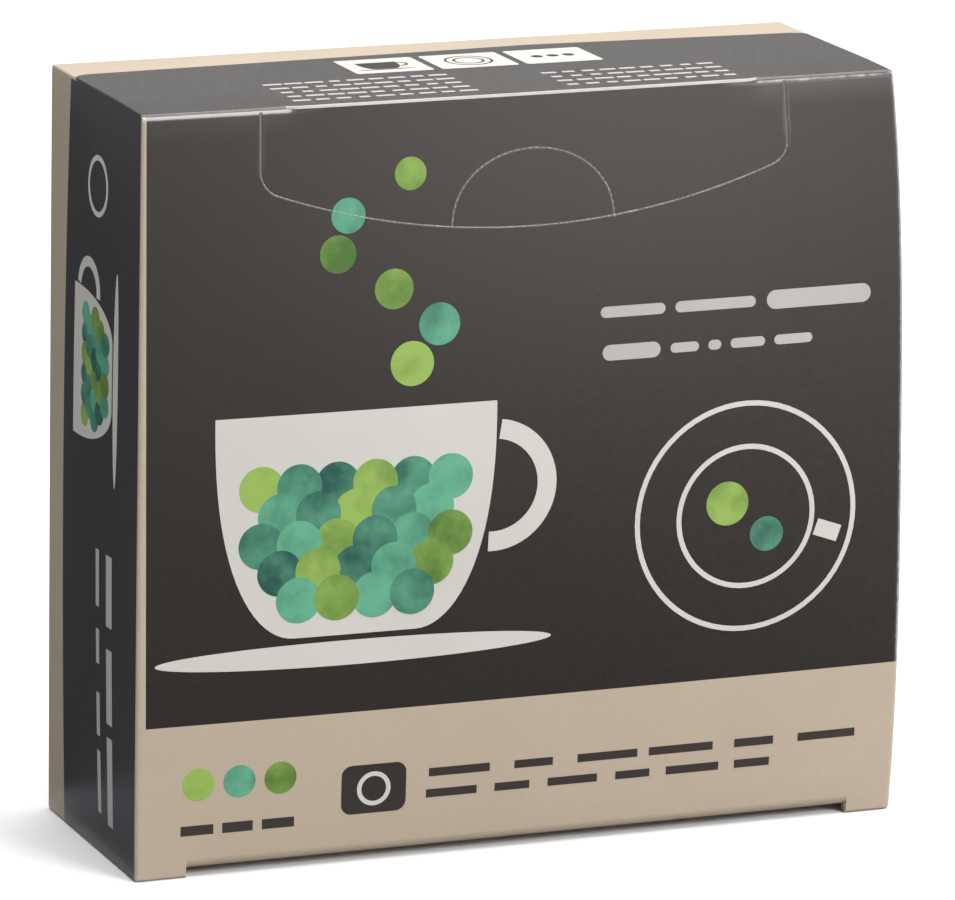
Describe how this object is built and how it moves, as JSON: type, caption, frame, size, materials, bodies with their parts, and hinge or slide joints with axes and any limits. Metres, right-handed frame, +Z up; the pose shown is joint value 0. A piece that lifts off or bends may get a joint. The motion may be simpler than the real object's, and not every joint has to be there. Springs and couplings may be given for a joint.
{
  "type": "folding carton",
  "caption": "Closed folding carton of printed coated board for flat filter bags, with rounded creases, a scored crescent tear-open panel and a thumb tab.",
  "frame": {"origin": "middle of the base, on the plane that the carton stands on", "axes": "+Z up, the front panel with the tear-open crescent faces -Y, +X to the right seen from the front"},
  "size_m": [0.1243, 0.047, 0.1155],
  "materials": {
    "charcoal_board": "coated board printed charcoal, satin",
    "beige_board": "coated board printed beige, satin",
    "raw_board": "uncoated cut edge",
    "pale_print": "off-white ink, satin",
    "dark_print": "near-black ink, satin",
    "green_print": "leaf green ink, satin",
    "teal_print": "teal ink, satin"
  },
  "bodies": {
    "root": {"carton": "charcoal_board"}
  },
  "joints": []
}
